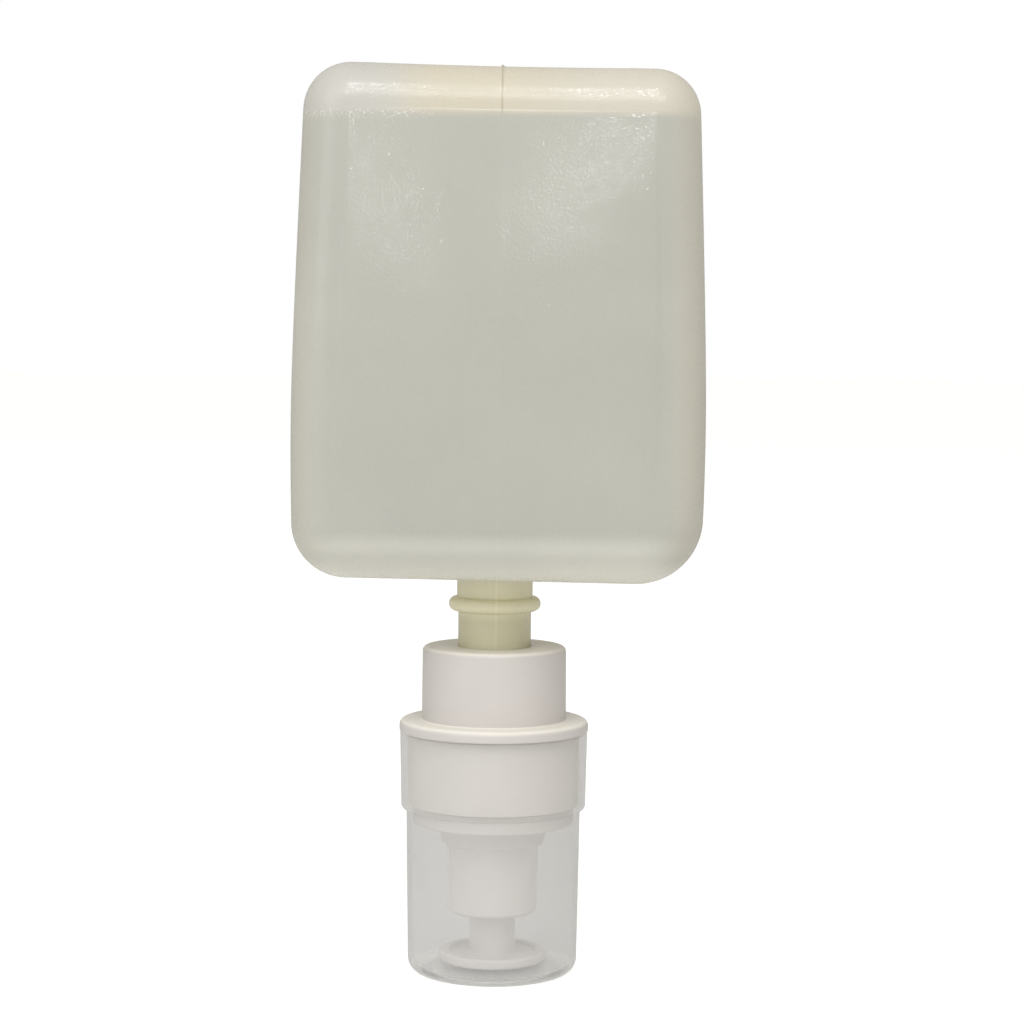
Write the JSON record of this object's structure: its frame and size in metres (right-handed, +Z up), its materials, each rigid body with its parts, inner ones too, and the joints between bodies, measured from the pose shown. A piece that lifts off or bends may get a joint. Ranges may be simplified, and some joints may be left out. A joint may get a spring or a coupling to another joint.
{
  "type": "hand soap refill pack",
  "caption": "Upturned translucent soap bottle on a push-up foam pump with a flanged collar, standing on its frosted push-on overcap.",
  "frame": {"origin": "centre of the overcap's base, on the surface the pack stands on", "axes": "+Z up the pump's axis to the upturned bottle, -Y out of one wide face of the bottle, X along its width"},
  "size_m": [0.1144, 0.076, 0.2562],
  "materials": {
    "natural_bottle": "satin",
    "soap": "gloss",
    "white_plastic": "satin",
    "inner_plastic": "satin",
    "soft_seal": "matte",
    "silicone": "satin",
    "foaming_mesh": "matte",
    "spring_steel": "satin",
    "clear_cap": "satin"
  },
  "bodies": {
    "refill": {"bottle": "natural_bottle", "soap": "soap", "pump_housing": "white_plastic", "neck_gasket": "soft_seal", "pump_body": "inner_plastic", "inlet_valve": "silicone", "nozzle_guide": "white_plastic", "return_spring": "spring_steel"},
    "piston": {"nozzle": "white_plastic", "mixing_barrel": "inner_plastic", "air_piston": "inner_plastic", "air_valve": "silicone", "plunger": "inner_plastic", "plunger_seal": "soft_seal", "outlet_valve": "silicone", "mesh_holder": "inner_plastic", "coarse_mesh": "foaming_mesh", "fine_mesh": "foaming_mesh"},
    "cap": {"overcap": "clear_cap"}
  },
  "joints": [
    {"name": "nozzle_press", "type": "slide", "parent": "refill", "child": "piston", "axis": [0, 0, 1], "range_m": [0, 0.01], "stiffness_N_per_m": 800, "springref_m": -0.006, "deforming": ["return_spring"]},
    {"name": "cap_pull", "type": "slide", "parent": "refill", "child": "cap", "axis": [0, 0, -1], "range_m": [0, 0.075]}
  ]
}
